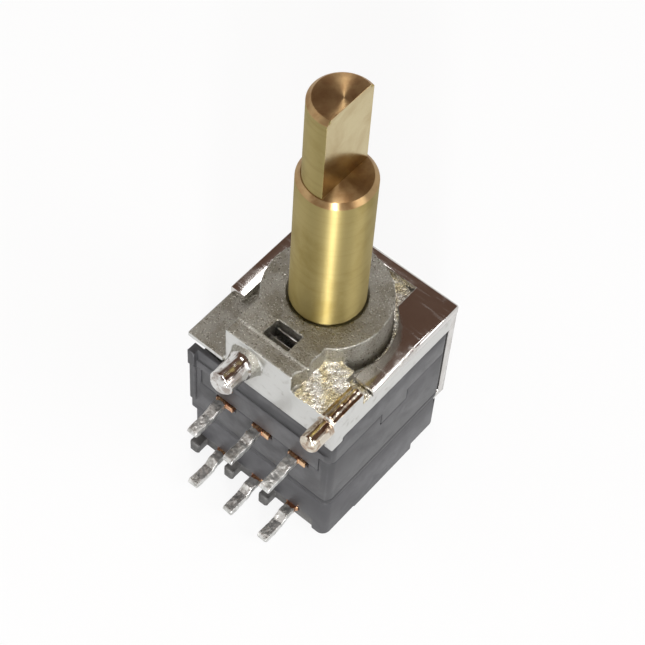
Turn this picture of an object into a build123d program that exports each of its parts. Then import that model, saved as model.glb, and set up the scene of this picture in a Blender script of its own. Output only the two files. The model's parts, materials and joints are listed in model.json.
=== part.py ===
from build123d import *
import math
import os

# Miniature right-angle rotary switch, in millimetres.
# The shaft axis is Z. Z = 0 is the rear face, that the switch stands on.
# The terminals and the two locating posts point along -Y, to the circuit board.

# ---------------------------------------------------------------- driving dimensions
body_x = 4.8                 # half width of the switch body
rear_left_x = 4.45           # the rear cover is set in on the -X side
front_y = -5.1               # board-side face
back_y = 4.55                # back face of the mouldings and the casting
corner_r = 0.5               # vertical corner rounding of the mouldings
left_front_r = 0.12          # their corner on the -X board side is nearly sharp
wall = 0.8                   # plain wall of the mouldings

pad_top = 0.15               # a pad across the rear face reaches down to Z = 0
pad_y0, pad_y1 = -2.5, 2.45
base_z0 = 0.2                # underside of the base wafer
lower_lead_top = 1.15        # contact face of the lower deck
rear_top = 3.5               # joint between rear cover and separator
sep_t = 0.4                  # separator plate
upper_lead_z0 = 6.05         # contact face of the upper deck
apron_z = 6.5                # joint of the two upper mouldings on the board side
mid_top = 7.75               # the same joint on the other sides
upper_top = 9.65             # top of the mouldings, underside of the casting
flange_top = 10.8            # casting flange that carries the steel frame
shelf_top = 12.0             # raised front corner of the casting
boss_top = 13.3              # bearing boss
shoulder_z = 23.0            # shoulder of the shaft
shaft_top = 28.4             # end of the shaft

shaft_r = 2.0                # shaft outside the casting
tip_r = 1.7                  # shaft above its shoulder
flat_x = 0.43                # the D flat, measured from the axis
shaft_chamfer = 0.25
bearing_r = 1.8              # ground journal that runs in the casting
seat_gap = 0.02              # the foot of the outer shaft runs this far above the boss
drive_r = 1.5                # shaft inside the switch, with two flats
drive_flat = 1.15            # half distance across those flats
journal_r = 0.75             # pilot at the rear end
run_gap = 0.03               # running clearance in the bearings
bore_chamfer = 0.3           # countersink of the bearing bore, round the foot of the shaft
key_gap = 0.04               # clearance of the keyed holes
joint_gap = 0.05             # clearance between seated mouldings
boss_r = 3.45

lead_t = 0.4                 # contact strip
pitch = 2.5                  # terminals are on a 2.5 mm grid, as the two decks are
lead_w = 0.62
lead_root_w = 0.8
lead_out = 2.5               # strip beyond the board-side face
lead_droop = (0.16, 0.28)    # set of the upper and the lower strips towards the rear
ring_r0, ring_r1 = 1.95, 2.35    # inner contact track
arc_r0, arc_r1 = 2.6, 3.1        # outer contact tracks
track_gap = 0.03             # clearance of a track in its wafer

rotor_r = 3.3
deck_r = 3.7                 # round chamber of each deck
wafer_r = 3.95
wafer_t = 0.8

positions = 16
step_angle = 360 / positions
steps_minus, steps_plus = 7, 8       # steps from rest to the two stops
wheel_r = 2.6                # crest circle of the detent wheel
notch_r = 0.62               # scallop
notch_depth = 0.22
wheel_z0, wheel_z1 = 7.5, 8.5
stop_z1 = 9.0                # top of the stop disc
stop_r = 3.0                 # stop lug
stop_half = 5.0              # half angle of lug and stop post
ball_r = 0.5
spring_t = 0.15
spring_z0, spring_z1 = 7.82, 8.52
chamber_r = 3.2              # detent chamber

steel_t = 0.5
steel_front = -1.95
steel_r = 3.75               # round opening in the steel frame
leg_x0, leg_x1 = 3.3, 4.7
leg_z = 3.0

post_l_x, post_l_z, post_l_r = -0.9, 12.1, 0.72
post_r_x, post_r_z, post_r_r = 4.35, 11.42, 0.55
post_l_out, post_r_out = 2.2, 1.6    # length beyond the board-side face

rib_x, rib_half = 4.38, 0.36         # rib on the raised corner, behind the right post
rib_back, rib_rise, rib_chamfer = -2.75, 0.15, 0.25
pocket_x, pocket_y0, pocket_y1 = -2.5, -4.7, -3.3    # open corner behind the left front ear
ear_z = 9.2                          # top of that ear

pin_r = 0.35                 # dowel pins between the mouldings
pin_x, pin_front, pin_back = 3.95, -4.4, 3.7
pin_len = 0.8


# ---------------------------------------------------------------- helpers
def block(x0, x1, y0, y1, z0, z1):
    """A box between three pairs of limits."""
    shape = Box(x1 - x0, y1 - y0, z1 - z0)
    return Pos((x0 + x1) / 2, (y0 + y1) / 2, (z0 + z1) / 2) * shape


def disc(radius, z0, z1, x=0.0, y=0.0):
    """An upright cylinder."""
    return Pos(x, y, (z0 + z1) / 2) * Cylinder(radius, z1 - z0)


def tube(r0, r1, z0, z1):
    """An upright ring."""
    return disc(r1, z0, z1) - disc(r0, z0 - 1, z1 + 1)


def sector(r0, r1, a0, a1, z0, z1):
    """A piece of a ring between two angles in degrees, less than a full turn."""
    middle = math.radians((a0 + a1) / 2)
    m_in = (r0 * math.cos(middle), r0 * math.sin(middle))
    m_out = (r1 * math.cos(middle), r1 * math.sin(middle))
    p = [(r * math.cos(math.radians(a)), r * math.sin(math.radians(a)))
         for r, a in ((r0, a0), (r1, a0), (r1, a1), (r0, a1))]
    edges = [Line(p[0], p[1]), ThreePointArc(p[1], m_out, p[2]), Line(p[2], p[3])]
    edges.append(ThreePointArc(p[3], m_in, p[0]))
    face = make_face(edges)
    return Pos(0, 0, z0) * extrude(face, z1 - z0)


def rounded_block(x0, x1, y0, y1, z0, z1):
    """A box with rounded upright edges, the left front one nearly sharp."""
    shape = block(x0, x1, y0, y1, z0, z1)
    upright = shape.edges().filter_by(Axis.Z).sort_by(lambda e: e.center().X + e.center().Y)
    shape = fillet(upright[1:], corner_r)
    left_front = shape.edges().filter_by(Axis.Z).sort_by(lambda e: e.center().X + e.center().Y)[0]
    return fillet(left_front, left_front_r)


def pins(z0, z1, radius, corners=4):
    """Dowels in the corners of the mouldings; the left front one is the fourth."""
    places = [(pin_x, pin_front), (pin_x, pin_back), (-pin_x, pin_back), (-pin_x, pin_front)]
    return Part() + [disc(radius, z0, z1, x, y) for x, y in places[:corners]]


def save(name, shape):
    """Write one sub-part."""
    solids = shape.solids()
    shape = solids[0] if len(solids) == 1 else Compound(children=list(solids))
    shape.label = name
    export_step(shape, f"parts/{name}.step")


# ---------------------------------------------------------------- bearing housing, zinc casting
def locating_post(x, z, radius, root_y, out):
    """A round post along -Y with a chamfered end."""
    length = root_y - (front_y - out)
    post = Cylinder(radius, length)
    post = chamfer(post.faces().sort_by(Axis.Z)[-1].edges(), 0.3 * radius)
    return Pos(x, root_y - length / 2, z) * Rot(90, 0, 0) * post


def corner_tab(grow):
    """The casting's tab that keys it into the upper moulding at the board-side corner."""
    width, depth, height = 0.55, 0.9, 0.35
    return block(body_x - width - grow, body_x, front_y, front_y + depth + grow,
                 upper_top - height - grow, upper_top + 0.1)


def bearing_housing():
    neck_left, neck_right = -2.4, 2.15
    strip_rear, strip_right, strip_drop = -4.15, 1.95, 0.08
    ledge_left, ledge_back, ledge_t, ledge_out = -2.4, -3.2, 0.3, 0.15
    window_x, window_front, window_back = 0.83, -4.05, -2.9
    skirt_left, skirt_back, skirt_foot = -3.7, -3.6, 7.95
    steel_seat = 3.55
    root_r, root_out = 1.0, 0.8

    body = block(-body_x, body_x, front_y, back_y, upper_top, flange_top)
    # the left front corner is a thin overhanging ledge
    body -= block(-body_x - 1, ledge_left, front_y - 1, ledge_back, upper_top - 1, flange_top - ledge_t)
    body += block(-body_x, ledge_left, front_y - ledge_out, ledge_back + 0.2,
                  flange_top - ledge_t, flange_top)
    # boss, neck and raised front corner
    body += disc(boss_r, flange_top - 0.5, boss_top)
    body += block(neck_left, neck_right, strip_rear, -1.5, flange_top - 0.5, boss_top)
    body += block(neck_left, strip_right, front_y, strip_rear, flange_top - 0.5, boss_top - strip_drop)
    body += block(neck_right - 0.2, body_x, front_y, steel_front - 0.06, flange_top - 0.5, shelf_top)
    # low seat in front of the steel frame's end
    body -= block(steel_seat, body_x + 1, rib_back, 0, flange_top + 0.2, shelf_top + 1)
    # skirt that hangs into the open corner of the upper moulding
    body += block(skirt_left, ledge_left - 0.15, pocket_y0 + 0.3, skirt_back, skirt_foot, flange_top - 0.1)
    # posts, the left one with a conical root, the right one with a rib along the shelf
    body += locating_post(post_l_x, post_l_z, post_l_r, front_y + 0.5, post_l_out)
    root = Cone(root_r, post_l_r, root_out, align=(Align.CENTER, Align.CENTER, Align.MIN))
    root = Pos(post_l_x, front_y, post_l_z - 0.1) * Rot(90, 0, 0) * root
    body += root & block(-body_x, body_x, front_y - 2, front_y, upper_top, boss_top - strip_drop)
    body += locating_post(post_r_x, post_r_z, post_r_r, front_y, post_r_out)
    rib = block(rib_x - rib_half, rib_x + rib_half, front_y, rib_back, post_r_z, shelf_top + rib_rise)
    body += chamfer(rib.edges().filter_by(Axis.Y).group_by(Axis.Z)[-1], rib_chamfer)
    # window for the friction spring
    body -= block(-window_x, window_x, window_front, window_back, boss_top - 1.5, boss_top + 1)
    body -= disc(bearing_r + run_gap, upper_top - 1, boss_top + 1)
    body += corner_tab(0)
    bore_edge = body.edges().filter_by(GeomType.CIRCLE).group_by(Axis.Z)[-1]
    bore_edge = bore_edge.filter_by(lambda e: e.radius < boss_r - 0.01)
    body = chamfer(bore_edge, bore_chamfer)
    return body


def friction_spring():
    """A bent strip in the window, standing off its floor."""
    z0 = boss_top - 1.5
    profile = [(-4.0, z0 + 0.0), (-2.95, z0 + 0.0), (-2.95, z0 + 0.95), (-3.07, z0 + 0.95)]
    profile += [(-3.07, z0 + 0.12), (-3.75, z0 + 0.12), (-3.42, z0 + 0.8), (-3.53, z0 + 0.85)]
    profile += [(-4.0, z0 + 0.12)]
    face = make_face(Polyline(*[(y, z) for y, z in profile], close=True))
    strip = extrude(Plane.YZ * face, 0.7, both=True)
    return strip


# ---------------------------------------------------------------- steel cover frame
def cover_frame():
    z0, z1 = flange_top, flange_top + steel_t
    leg_y0 = back_y + joint_gap
    leg_y1 = leg_y0 + steel_t
    notch = (-0.4, 2.4, back_y - 0.1)
    arm_left, arm_right = -3.85, 3.55    # inner edges of the two front arms
    hook_in, hook_h = 0.45, 0.4
    bend_r = 0.18
    plate = block(-body_x, body_x, steel_front, leg_y1, z0, z1)
    plate -= disc(steel_r, z0 - 1, z1 + 1)
    plate -= block(arm_left, arm_right, steel_front - 1, 0, z0 - 1, z1 + 1)
    plate -= block(notch[0], notch[1], 0, notch[2], z0 - 1, z1 + 1)
    for side in (-1, 1):
        x0, x1 = sorted((side * leg_x0, side * leg_x1))
        plate += block(x0, x1, leg_y0, leg_y1, leg_z, z0)
        # the hook that holds the stack of mouldings
        plate += block(x0, x1, leg_y0 - hook_in, leg_y0, leg_z, leg_z + hook_h)
    top_edges = plate.edges().filter_by(Axis.Y).group_by(Axis.Z)[-1]
    plate = fillet(top_edges.sort_by(Axis.X)[-1], bend_r)
    back_edges = plate.edges().filter_by(Axis.X).group_by(Axis.Z)[-1]
    plate = fillet(back_edges.sort_by(Axis.Y)[-1], bend_r)
    return plate


# ---------------------------------------------------------------- black mouldings
tongue = (-0.9, 1.2, 6.85)           # snap tongue on each side: y0, y1, lower edge
apron_x = 4.0                        # half width of the board-side apron
apron_t = 0.7
rib_out = 0.15                       # corner rib beyond the board-side face
corner_rib_w = 0.45
lobe_out = 0.13               # rounded lobe beyond the corner rib


def tongues(grow):
    """Side tongues and front apron of the upper housing."""
    lower = tongue[2] - grow
    shape = block(-apron_x - grow, apron_x + grow, front_y, front_y + apron_t + grow,
                  apron_z, mid_top + 0.3)
    for side in (-1, 1):
        x0, x1 = sorted((side * (body_x - 0.6 - grow), side * body_x))
        shape += block(x0, x1, tongue[0] - grow, tongue[1] + grow, lower, mid_top + 0.3)
    return shape


def corner_rib(z0, z1):
    """Upright rib on the left front corner of the two upper mouldings."""
    rib = block(-body_x, -body_x + corner_rib_w, front_y - rib_out, front_y + 0.5, z0, z1)
    return fillet(rib.edges().filter_by(Axis.Z).sort_by(Axis.Y)[:2], left_front_r)


def upper_housing():
    recess, recess_z = 0.12, 8.35
    leaf_slot = 3.25
    lobe_z, lobe_round = 8.0, 0.12
    shape = rounded_block(-body_x, body_x, front_y, back_y, mid_top, upper_top)
    shape += tongues(0)
    # the upper half of the board-side face is set back a little
    shape -= block(-body_x - 1, body_x + 1, front_y - 1, front_y + recess, recess_z, upper_top + 1)
    # open left front corner, with an ear in front of it
    shape -= block(-body_x - 1, pocket_x, pocket_y0, pocket_y1, mid_top - 1, upper_top + 1)
    shape -= block(-body_x - 1, pocket_x - 0.1, front_y - 1, pocket_y1, ear_z, upper_top + 1)
    shape += corner_rib(mid_top, ear_z) - block(-9, 9, pocket_y0, 9, mid_top - 1, upper_top)
    lobe = block(-body_x, -body_x + corner_rib_w, front_y - rib_out - lobe_out, front_y, lobe_z, ear_z)
    shape += fillet(lobe.faces().sort_by(Axis.Y)[0].edges(), lobe_round)
    # detent chamber, ball guide and spring slot
    shape -= disc(chamber_r, mid_top - 1, upper_top + 1)
    shape -= block(-ball_r - 0.08, ball_r + 0.08, 0, spring_y(), mid_top - 1, spring_z1 + 0.08)
    shape -= block(-leaf_slot, leaf_slot, spring_y() - 0.1, spring_y() + 0.45, mid_top - 1, spring_z1 + 0.08)
    shape -= corner_tab(joint_gap)
    # stop post
    angle = stop_angle()
    post = sector(stop_r - 0.45, chamber_r + 0.2, angle - stop_half, angle + stop_half,
                  wheel_z1 + 0.06, groove_z0 - 0.05)
    shape += post
    shape += pins(mid_top - pin_len, mid_top + 0.2, pin_r, 3)
    return shape


def middle_housing():
    z0 = rear_top + sep_t
    rib_foot = 4.6
    shape = rounded_block(-body_x, body_x, front_y, back_y, z0, mid_top)
    shape -= tongues(joint_gap)
    shape -= disc(deck_r, z0 - 1, upper_lead_z0)
    shape -= wafer_outline(joint_gap, upper_lead_z0, mid_top + 1)
    shape += corner_rib(rib_foot, mid_top)
    shape -= pins(mid_top - pin_len - 0.1, mid_top + 1, pin_r + joint_gap, 3)
    shape -= pins(z0 - 1, z0 + pin_len + 0.1, pin_r + joint_gap)
    for k in (-1, 0, 1):
        x = k * pitch
        slot_x = lead_root_w / 2 + joint_gap
        shape -= block(x - slot_x, x + slot_x + 0.45, front_y - 1, -3, upper_lead_z0, apron_z)
    return shape


def separator_plate():
    shape = rounded_block(-body_x, body_x, front_y, back_y, rear_top, rear_top + sep_t)
    shape -= disc(drive_r + 0.5, rear_top - 1, rear_top + 1)
    shape -= pins(rear_top - 1, rear_top + 1, pin_r + joint_gap)
    return shape


def base_outline(grow, z0, z1):
    """Plan of the base wafer, open to the board side."""
    left, right, back = -3.75, 4.05, 3.8
    return block(left - grow, right + grow, front_y + 0.1, back + grow, z0, z1)


def rear_cover():
    foot_x = 3.9
    rear_step = 0.55
    shape = rounded_block(-rear_left_x, body_x, front_y, back_y, pad_top, rear_top)
    # the back corner of the foot edge is relieved
    shape -= block(-body_x - 1, body_x + 1, pad_y1, back_y + 1, -1, rear_step)
    for x0, x1 in ((-rear_left_x, -foot_x), (foot_x + 0.2, body_x)):
        shape += block(x0, x1, pad_y0, pad_y1, 0, pad_top + 0.2)
    # open board-side edge under the lower terminals, leaving the +X corner foot
    shape -= block(-rear_left_x - 1, foot_x, front_y - 1, front_y + 1.2, -1, lower_lead_top)
    shape -= disc(deck_r - 0.05, 0, rear_top + 1)
    shape -= base_outline(joint_gap, -1, lower_lead_top)
    for side in (-1, 1):
        x0, x1 = sorted((side * (leg_x0 - 0.1), side * (leg_x1 + 0.3)))
        shape -= block(x0, x1, back_y - 0.5, back_y + 1, leg_z - 0.1, rear_top + 1)
    shape += pins(rear_top - 0.6, rear_top + sep_t + pin_len, pin_r)
    return shape


# ---------------------------------------------------------------- wafers and contacts
def wafer_outline(grow, z0, z1):
    """Plan of the upper wafer: round, with a straight front that carries the terminals."""
    tongue_half = 3.35
    front = block(-tongue_half - grow, tongue_half + grow, front_y + apron_t + joint_gap, 0, z0, z1)
    return disc(wafer_r + grow, z0, z1) + front


def track(kind, grow, z0, z1):
    """Plan of one stamped contact: its track and its strip, out to the board-side face."""
    half = lead_root_w / 2 + grow
    reach = front_y - 1
    if kind == 0:
        shape = tube(ring_r0 - grow, ring_r1 + grow, z0, z1)
        shape += block(-half, half, reach, -ring_r0 - 0.2, z0, z1)
        return shape
    a0, a1 = (-75, 80) if kind > 0 else (100, 255)
    shape = sector(arc_r0 - grow, arc_r1 + grow, a0 - 2 * grow * 9, a1 + 2 * grow * 9, z0, z1)
    x = kind * pitch
    inner, outer = sorted((kind * 1.2, x + kind * half))
    shape += block(x - half, x + half, reach, -1.2, z0, z1) - disc(arc_r0 + 0.1, z0 - 1, z1 + 1)
    return shape


def terminal(kind, z0, tab, droop):
    """Contact track, strip through the wall, and the free end that is soldered."""
    z1 = z0 + lead_t
    x = kind * pitch
    shape = track(kind, 0, z0, z1)
    shape -= block(-9, 9, front_y - 9, front_y, z0 - 1, z1 + 1)
    if tab:
        # the sheared lug of the upper strips, beside the free end
        shape += block(x - lead_root_w / 2, x + lead_root_w / 2 + 0.35, front_y - 0.12,
                       front_y + 0.6, z0, z1)
    y0, y1, y2, y3 = front_y + 0.1, front_y - 0.75, front_y - 1.15, front_y - lead_out
    tip = 0.12
    outline = [(y0, z0), (y1, z0), (y2, z0 - droop), (y3 + tip, z0 - droop), (y3, z0 - droop + tip)]
    outline += [(y3, z1 - droop - tip), (y3 + tip, z1 - droop), (y2, z1 - droop), (y1, z1), (y0, z1)]
    face = make_face(Polyline(*outline, close=True))
    strip = extrude(Plane.YZ * face, lead_w / 2, both=True)
    shape += Pos(x, 0, 0) * strip
    return shape


def upper_wafer():
    z0 = upper_lead_z0
    shape = wafer_outline(0, z0, z0 + wafer_t)
    shape -= block(-9, 9, front_y, front_y + apron_t + 2 * joint_gap, apron_z - 0.05, mid_top)
    shape -= disc(drive_r + 0.3, z0 - 1, z0 + 2)
    for kind in (-1, 0, 1):
        shape -= track(kind, track_gap, z0 - 1, z0 + lead_t)
    return shape


def base_wafer():
    z1 = lower_lead_top
    nub_x, nub_w, nub_out, nub_z = -1.55, 0.62, 0.75, 0.95
    shape = base_outline(0, base_z0, z1)
    shape += base_outline(0, 0, base_z0) & block(-9, 9, pad_y0, pad_y1, 0, base_z0)
    for k in (-1, 0, 1):
        nub = block(k * pitch + nub_x - nub_w / 2, k * pitch + nub_x + nub_w / 2,
                    front_y - nub_out, front_y + 0.5, base_z0, nub_z)
        tip_edges = nub.faces().sort_by(Axis.Y)[0].edges()
        shape += fillet(tip_edges, 0.25)
    shape -= disc(journal_r + run_gap, 0.5, z1 + 1)
    for kind in (-1, 0, 1):
        shape -= track(kind, track_gap, z1 - lead_t, z1 + 1)
    return shape


# ---------------------------------------------------------------- rotating pieces
def drive_section(z0, z1, gap):
    """The shaft's section inside the switch, with two flats."""
    half = drive_flat + gap
    return disc(drive_r + gap, z0, z1) & block(-9, 9, -half, half, z0, z1)


groove_r, groove_z0, groove_z1 = 1.45, 9.13, 9.45
drive_top = 9.0
drive_end = 1.45
journal_end = 0.6


def shaft():
    lower = disc(shaft_r, boss_top + seat_gap, shoulder_z)
    lower = chamfer(lower.faces().sort_by(Axis.Z)[-1].edges(), shaft_chamfer)
    tip = disc(tip_r, shoulder_z - 0.5, shaft_top)
    tip = chamfer(tip.faces().sort_by(Axis.Z)[-1].edges(), shaft_chamfer)
    tip -= block(flat_x, 9, -9, 9, shoulder_z, shaft_top + 1)
    shape = lower + tip + disc(bearing_r, drive_top, shoulder_z)
    shape -= tube(groove_r, shaft_r + 1, groove_z0, groove_z1)
    shape += drive_section(drive_end, drive_top, 0)
    shape += disc(journal_r, journal_end, drive_end)
    return shape


def retaining_ring():
    """An open ring snapped into the groove."""
    z0, z1 = groove_z0 + 0.01, groove_z1 - 0.01
    ring = tube(groove_r + 0.02, 2.7, z0, z1)
    ring -= block(-0.9, 0.9, -9, 0, z0 - 1, z1 + 1)
    for angle in (30, 150):
        x, y = 2.75 * math.cos(math.radians(angle)), 2.75 * math.sin(math.radians(angle))
        ring -= disc(0.55, z0 - 1, z1 + 1, x, y)
    return ring


def thrust_washer():
    return tube(bearing_r + 0.06, 2.9, groove_z1 + 0.03, upper_top)


def stop_angle():
    """Direction of the stop post; the lug starts where both ends of the travel are equal."""
    return 225.0


def lug_angle():
    travel = (steps_minus + steps_plus) * step_angle
    spare = (360 - travel - 4 * stop_half) / 2
    return stop_angle() - steps_plus * step_angle - 2 * stop_half - spare


def ball_y():
    return wheel_r + ball_r + run_gap


def spring_y():
    return ball_y() + ball_r + run_gap


def detent_wheel():
    shape = disc(wheel_r, wheel_z0, wheel_z1)
    centre = wheel_r - notch_depth + notch_r
    for i in range(positions):
        angle = math.radians(90 + i * step_angle)
        shape -= disc(notch_r, wheel_z0 - 1, wheel_z1 + 1, centre * math.cos(angle), centre * math.sin(angle))
    shape += disc(wheel_r - 0.3, wheel_z1 - 0.1, stop_z1)
    angle = lug_angle()
    shape += sector(wheel_r - 0.6, stop_r, angle - stop_half, angle + stop_half, wheel_z1 + 0.06, stop_z1)
    shape -= drive_section(wheel_z0 - 1, stop_z1 + 1, key_gap)
    return shape


def detent_spring():
    """A bowed leaf that presses the ball into the wheel."""
    half, sag = 3.0, 0.22
    y = spring_y()
    radius = (half ** 2 + sag ** 2) / (2 * sag)
    mid = [(0, y), (0, y + spring_t)]
    slope = math.asin(half / radius)
    ends = [(half, y + sag), (half - spring_t * math.sin(slope), y + sag + spring_t * math.cos(slope))]
    inner = ThreePointArc((-ends[0][0], ends[0][1]), mid[0], ends[0])
    outer = ThreePointArc(ends[1], mid[1], (-ends[1][0], ends[1][1]))
    edges = [inner, Line(ends[0], ends[1]), outer]
    edges.append(Line((-ends[1][0], ends[1][1]), (-ends[0][0], ends[0][1])))
    return Pos(0, 0, spring_z0) * extrude(make_face(edges), spring_z1 - spring_z0)


def detent_ball():
    return Pos(0, ball_y(), (wheel_z0 + wheel_z1) / 2) * Sphere(ball_r)


upper_rotor_z = (4.3, 5.5)
lower_rotor_z = (1.7, 2.9)
rivet_r = 0.28
brush_gap = 0.05              # brush fingers stop this far from the tracks
rivet_at = 2.6


def rotor(z0, z1, brush_up):
    """A keyed disc with a hub and the two studs that carry its brush."""
    shape = disc(rotor_r, z0, z1)
    shape -= tube(2.1, 2.9, z0 - 1 if brush_up else z1 - 0.5, z0 + 0.5 if brush_up else z1 + 1)
    stud_z = (z1, z1 + 0.2) if brush_up else (z0 - 0.2, z0)
    for angle in (0, 180):
        x = rivet_at * math.cos(math.radians(angle))
        shape += disc(rivet_r, min(stud_z[0], z0), max(stud_z[1], z1), x)
    shape -= drive_section(z0 - 1, z1 + 1, key_gap)
    return shape


def brush(face_z, lead_z):
    """A stamped spring plate on the rotor face, with three bent fingers."""
    t = 0.1
    brush_up = lead_z > face_z
    reach = abs(lead_z - face_z) - brush_gap
    plate = tube(1.85, 3.2, 0, t)
    fingers = []
    for radius, angle in ((2.15, 60), (2.85, 60), (2.85, 240)):
        plate -= Rot(0, 0, angle) * block(radius - 0.22, radius + 0.22, -0.15, 1.25, -1, 1)
        outline = [(-0.3, 0), (-0.1, 0), (0.75, reach - t), (0.95, reach - t), (1.1, reach - 0.2)]
        outline += [(1.16, reach - 0.12), (1.0, reach), (0.7, reach), (-0.16, t), (-0.3, t)]
        face = make_face(Polyline(*outline, close=True))
        finger = extrude(Plane.YZ * face, 0.15, both=True)
        fingers.append(Rot(0, 0, angle) * Pos(radius, 0, 0) * finger)
    shape = plate + fingers
    for angle in (0, 180):
        x = rivet_at * math.cos(math.radians(angle))
        shape -= disc(rivet_r + 0.02, -1, 1, x)
    if brush_up:
        return Pos(0, 0, face_z) * shape
    return Pos(0, 0, face_z) * Rot(180, 0, 0) * shape


# ---------------------------------------------------------------- write the sub-parts
os.makedirs("parts", exist_ok=True)
save("bearing_housing", bearing_housing())
save("friction_spring", friction_spring())
save("cover_frame", cover_frame())
save("upper_housing", upper_housing())
save("middle_housing", middle_housing())
save("separator_plate", separator_plate())
save("rear_cover", rear_cover())
save("upper_wafer", upper_wafer())
save("base_wafer", base_wafer())
for side_name, side_kind in (("left", -1), ("middle", 0), ("right", 1)):
    save(f"upper_terminal_{side_name}", terminal(side_kind, upper_lead_z0, True, lead_droop[0]))
    save(f"lower_terminal_{side_name}", terminal(side_kind, lower_lead_top - lead_t, False, lead_droop[1]))
save("shaft", shaft())
save("retaining_ring", retaining_ring())
save("thrust_washer", thrust_washer())
save("detent_wheel", detent_wheel())
save("detent_spring", detent_spring())
save("detent_ball", detent_ball())
save("upper_rotor", rotor(*upper_rotor_z, True))
save("lower_rotor", rotor(*lower_rotor_z, False))
save("upper_brush", brush(upper_rotor_z[1], upper_lead_z0))
save("lower_brush", brush(lower_rotor_z[0], lower_lead_top))
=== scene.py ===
import json
import math

import bmesh
import bpy
from mathutils import Matrix, Vector, noise


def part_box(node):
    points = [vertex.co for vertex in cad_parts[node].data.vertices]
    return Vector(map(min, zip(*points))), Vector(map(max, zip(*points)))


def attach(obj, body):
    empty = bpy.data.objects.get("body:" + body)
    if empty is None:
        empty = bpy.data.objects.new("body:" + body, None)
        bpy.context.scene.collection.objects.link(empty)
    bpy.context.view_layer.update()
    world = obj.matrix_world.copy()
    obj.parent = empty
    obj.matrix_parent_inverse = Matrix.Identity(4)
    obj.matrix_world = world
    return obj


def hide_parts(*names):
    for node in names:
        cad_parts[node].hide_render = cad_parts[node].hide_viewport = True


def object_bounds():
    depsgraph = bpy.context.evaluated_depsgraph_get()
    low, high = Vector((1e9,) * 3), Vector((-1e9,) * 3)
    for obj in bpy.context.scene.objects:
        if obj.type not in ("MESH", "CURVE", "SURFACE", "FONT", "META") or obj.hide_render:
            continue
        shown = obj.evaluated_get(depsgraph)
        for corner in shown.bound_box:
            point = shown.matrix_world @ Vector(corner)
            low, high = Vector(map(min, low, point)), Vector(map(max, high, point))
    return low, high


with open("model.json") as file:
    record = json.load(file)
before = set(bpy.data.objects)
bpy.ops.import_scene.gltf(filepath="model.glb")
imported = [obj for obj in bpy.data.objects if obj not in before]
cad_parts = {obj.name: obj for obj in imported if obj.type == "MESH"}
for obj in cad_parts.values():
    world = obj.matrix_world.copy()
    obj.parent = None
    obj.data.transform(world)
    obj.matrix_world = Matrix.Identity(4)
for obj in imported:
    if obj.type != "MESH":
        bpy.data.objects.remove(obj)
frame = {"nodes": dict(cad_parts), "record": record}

# A miniature rotary switch: a brass shaft in a zinc casting, a steel cover frame,
# four black mouldings and six tinned terminals. Lengths inside this script are in
# millimetres and turned into metres when a mesh is stored.

MM = 0.001
cad_low, cad_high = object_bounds()
mounts = {m["name"]: m for m in frame["record"]["mounts"]}


# ------------------------------------------------------------------ mesh helpers
def node_mesh(node):
    """The CAD shape of a node in millimetres, with its vertices joined and flat faces whole."""
    shape = bmesh.new()
    shape.from_mesh(frame["nodes"][node].data)
    bmesh.ops.scale(shape, vec=Vector((1000, 1000, 1000)), verts=shape.verts)
    bmesh.ops.remove_doubles(shape, verts=shape.verts, dist=2e-4)
    bmesh.ops.dissolve_limit(shape, angle_limit=math.radians(0.6), verts=shape.verts,
                             edges=shape.edges, use_dissolve_boundaries=False, delimit=set())
    bmesh.ops.recalc_face_normals(shape, faces=shape.faces)
    return shape


def store(shape, name, crease=38):
    """A Blender object from a bmesh in millimetres; edges sharper than crease stay sharp."""
    mesh = bpy.data.meshes.new(name)
    bmesh.ops.scale(shape, vec=Vector((MM, MM, MM)), verts=shape.verts)
    shape.to_mesh(mesh)
    shape.free()
    mesh.polygons.foreach_set("use_smooth", [True] * len(mesh.polygons))
    mesh.set_sharp_from_angle(angle=math.radians(crease))
    piece = bpy.data.objects.new(name, mesh)
    bpy.context.scene.collection.objects.link(piece)
    return piece


def round_edges(shape, radius, segments=2, angle=34, shortest=0.06, keep=None):
    """Rounds the sharp edges of a bmesh, leaving the very short ones."""
    edges = []
    for edge in shape.edges:
        if len(edge.link_faces) != 2 or edge.calc_length() < shortest:
            continue
        if keep and not keep((edge.verts[0].co + edge.verts[1].co) / 2):
            continue
        if edge.calc_face_angle(0) > math.radians(angle):
            edges.append(edge)
    bmesh.ops.bevel(shape, geom=edges, offset=radius, offset_type="OFFSET", segments=segments,
                    profile=0.5, affect="EDGES", clamp_overlap=False, loop_slide=True)


def remeshed(shape, voxel):
    """An even skin over a bmesh, which softens its edges by about one voxel."""
    mesh = bpy.data.meshes.new("skin")
    shape.to_mesh(mesh)
    shape.free()
    holder = bpy.data.objects.new("skin", mesh)
    bpy.context.scene.collection.objects.link(holder)
    skin = holder.modifiers.new("skin", "REMESH")
    skin.mode, skin.voxel_size, skin.adaptivity = "VOXEL", voxel, 0.0
    graph = bpy.context.evaluated_depsgraph_get()
    made = bpy.data.meshes.new_from_object(holder.evaluated_get(graph))
    bpy.data.objects.remove(holder)
    bpy.data.meshes.remove(mesh)
    result = bmesh.new()
    result.from_mesh(made)
    bpy.data.meshes.remove(made)
    result.normal_update()
    return result


def smoothstep(low, high, value):
    t = min(1.0, max(0.0, (value - low) / (high - low)))
    return t * t * (3 - 2 * t)


def inside(value, low, high, soft):
    """1 between the two limits, fading to 0 over soft outside them."""
    return smoothstep(low - soft, low, value) * (1 - smoothstep(high, high + soft, value))


def ripple(point, scale, seed=0.0):
    return noise.noise(Vector((point.x * scale + seed, point.y * scale - seed, point.z * scale)))


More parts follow.
